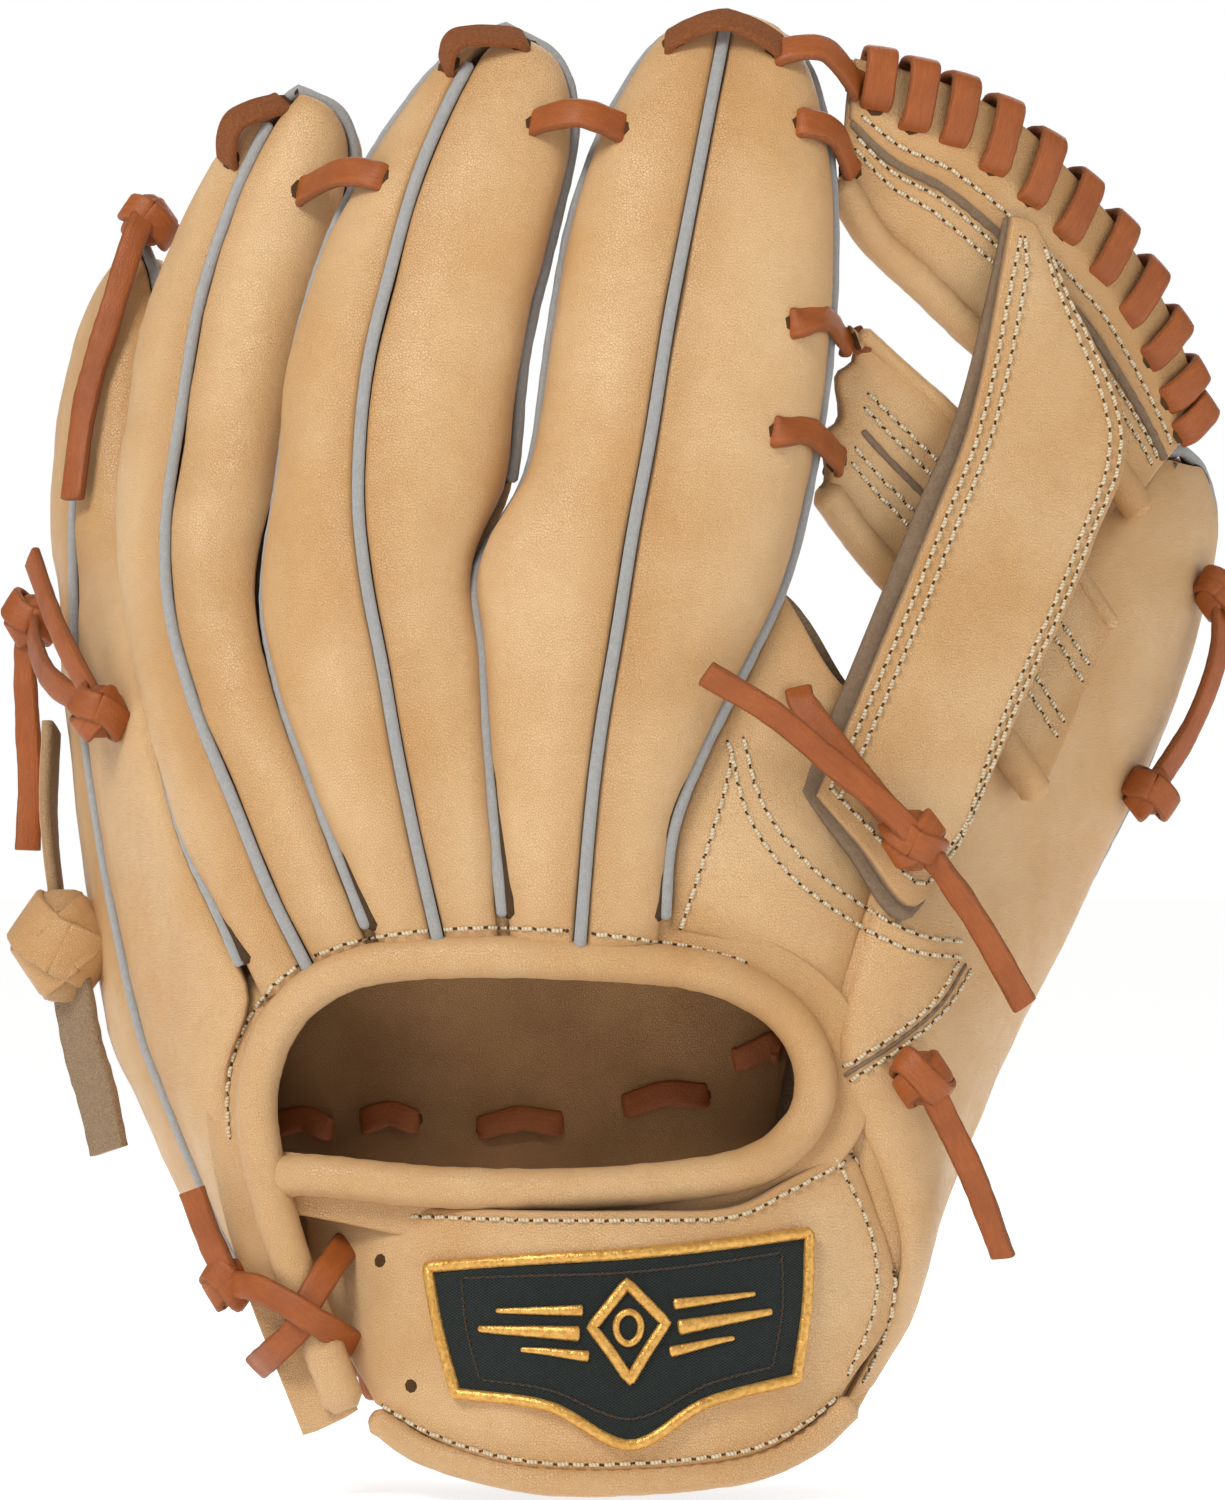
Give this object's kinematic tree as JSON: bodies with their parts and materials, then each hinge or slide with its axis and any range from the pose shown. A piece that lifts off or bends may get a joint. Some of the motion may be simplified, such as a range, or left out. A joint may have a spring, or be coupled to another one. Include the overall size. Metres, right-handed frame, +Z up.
{
  "type": "baseball glove",
  "caption": "Leather infield glove with padded finger stalls, an open back, a wrist strap and a laced web that joins the thumb to the index finger.",
  "frame": {"origin": "middle of the space that the hand fills, level with the open back", "axes": "+Z up the fingers, -Y out of the back of the hand, +Y out of the palm, +X towards the thumb"},
  "size_m": [0.2511, 0.127, 0.2902],
  "materials": {
    "shell_leather": "smooth, fine grain, lightly waxed",
    "welt_felt": "matt pressed felt",
    "rawhide": "oiled rawhide, smooth on one side and rough on the other",
    "lining_leather": "soft, matt",
    "pad_felt": "matt wool felt",
    "fleece": "short curled pile",
    "label_weave": "coarse woven",
    "label_gold": "metallic, polished on its edges"
  },
  "bodies": {
    "hand": {"index_back_panel_pinky_side": "shell_leather", "index_back_panel_thumb_side": "shell_leather", "index_centre_welt": "welt_felt", "middle_back_panel_pinky_side": "shell_leather", "middle_back_panel_thumb_side": "shell_leather", "middle_centre_welt": "welt_felt", "ring_back_panel_pinky_side": "shell_leather", "ring_back_panel_thumb_side": "shell_leather", "ring_centre_welt": "welt_felt", "index_edge_welt": "welt_felt", "middle_edge_welt": "welt_felt", "ring_edge_welt": "welt_felt", "palm_shell": "shell_leather", "palm_pad": "pad_felt", "hand_lining": "lining_leather", "thumb_gusset": "shell_leather", "opening_binding": "shell_leather", "wrist_strap": "shell_leather", "strap_fleece": "fleece", "strap_piping": "shell_leather", "label_patch": "label_weave", "label_rim": "label_gold", "ring_tip_lace": "rawhide", "middle_tip_lace": "rawhide", "index_tip_lace": "rawhide", "ring_middle_lace": "rawhide", "middle_index_lace": "rawhide", "index_web_lace_1": "rawhide", "index_web_lace_2": "rawhide", "index_web_lace_3": "rawhide", "index_web_lace_4": "rawhide", "strap_cross_lace": "rawhide"},
    "thumb_side": {"thumb_back_panel_pinky_side": "shell_leather", "thumb_back_panel_thumb_side": "shell_leather", "thumb_centre_welt": "welt_felt", "thumb_edge_welt": "welt_felt", "palm_shell_thumb_side": "shell_leather", "thumb_heel_pad": "pad_felt", "thumb_lining": "lining_leather", "web_top_band": "shell_leather", "web_post": "shell_leather", "web_cross_bar": "shell_leather", "web_rim_lace": "rawhide", "web_post_knot": "rawhide", "thumb_root_knot": "rawhide", "thumb_side_lace": "rawhide", "web_post_tail_long": "rawhide", "web_post_tail_short": "rawhide", "thumb_root_tail": "rawhide"},
    "pinky_side": {"pinky_back_panel_pinky_side": "shell_leather", "pinky_back_panel_thumb_side": "shell_leather", "pinky_centre_welt": "welt_felt", "pinky_edge_welt": "welt_felt", "palm_shell_pinky_side": "shell_leather", "pinky_lining": "lining_leather", "pinky_tip_knot": "rawhide", "pinky_side_lace": "rawhide", "adjusting_strap": "shell_leather", "pinky_tip_tail": "rawhide", "pinky_side_tail": "rawhide"}
  },
  "joints": [
    {"name": "thumb_fold", "type": "hinge", "parent": "hand", "child": "thumb_side", "pos_m": [0.057, 0.006, 0.05], "axis": [0.025, -0.04, 0.9989], "range_deg": [0, 20], "stiffness_Nm_per_rad": 1.5},
    {"name": "pinky_fold", "type": "hinge", "parent": "hand", "child": "pinky_side", "pos_m": [-0.0595, 0.0225, 0.0175], "axis": [0.2437, -0.05, -0.9686], "range_deg": [0, 15], "stiffness_Nm_per_rad": 1.5}
  ]
}
